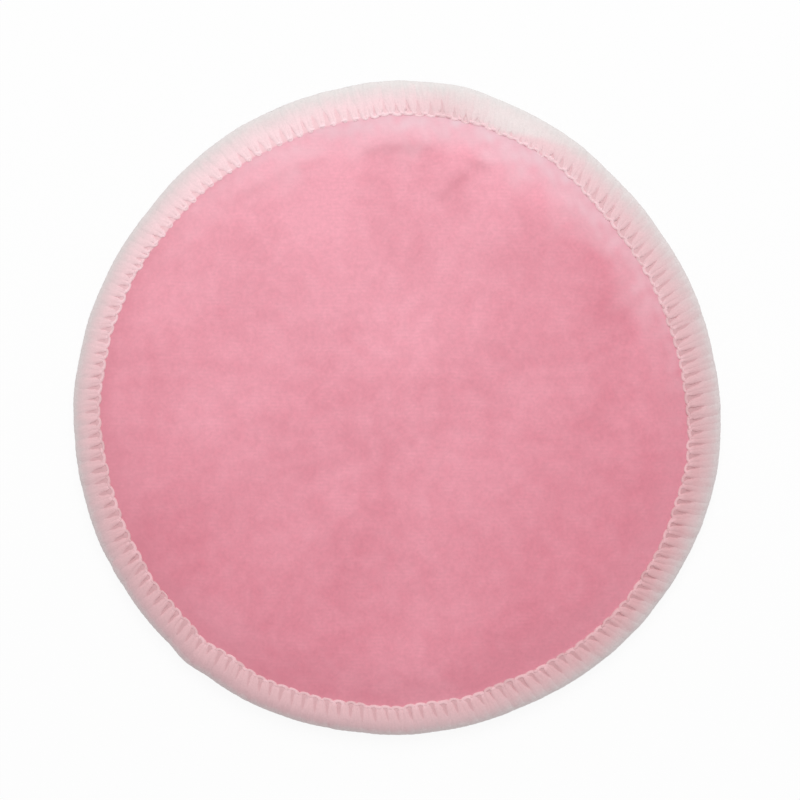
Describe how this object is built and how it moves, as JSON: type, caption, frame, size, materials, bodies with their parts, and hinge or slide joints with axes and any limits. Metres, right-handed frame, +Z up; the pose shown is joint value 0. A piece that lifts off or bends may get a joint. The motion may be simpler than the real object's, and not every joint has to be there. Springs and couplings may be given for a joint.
{
  "type": "reusable makeup remover pad",
  "caption": "Round cloth pad with a pink velour face, an absorbent core, a white back and an overlocked edge, for wiping off makeup.",
  "frame": {"origin": "middle of the underside, on the table that the pad lies on", "axes": "+Z up through the pink face, +Y towards the top of the picture, +X to its right"},
  "size_m": [0.08, 0.08, 0.0048],
  "materials": {
    "pink_velour": "short cut pile with a soft sheen",
    "core_terry": "matte looped terry",
    "white_back": "matte short pile",
    "needle_thread": "fine twisted thread",
    "upper_looper": "fluffy textured thread",
    "lower_looper": "fluffy textured thread"
  },
  "bodies": {
    "root": {"front_velour": "pink_velour", "absorbent_core": "core_terry", "back_cloth": "white_back", "needle_thread": "needle_thread", "upper_looper_thread": "upper_looper", "lower_looper_thread": "lower_looper"}
  },
  "joints": []
}
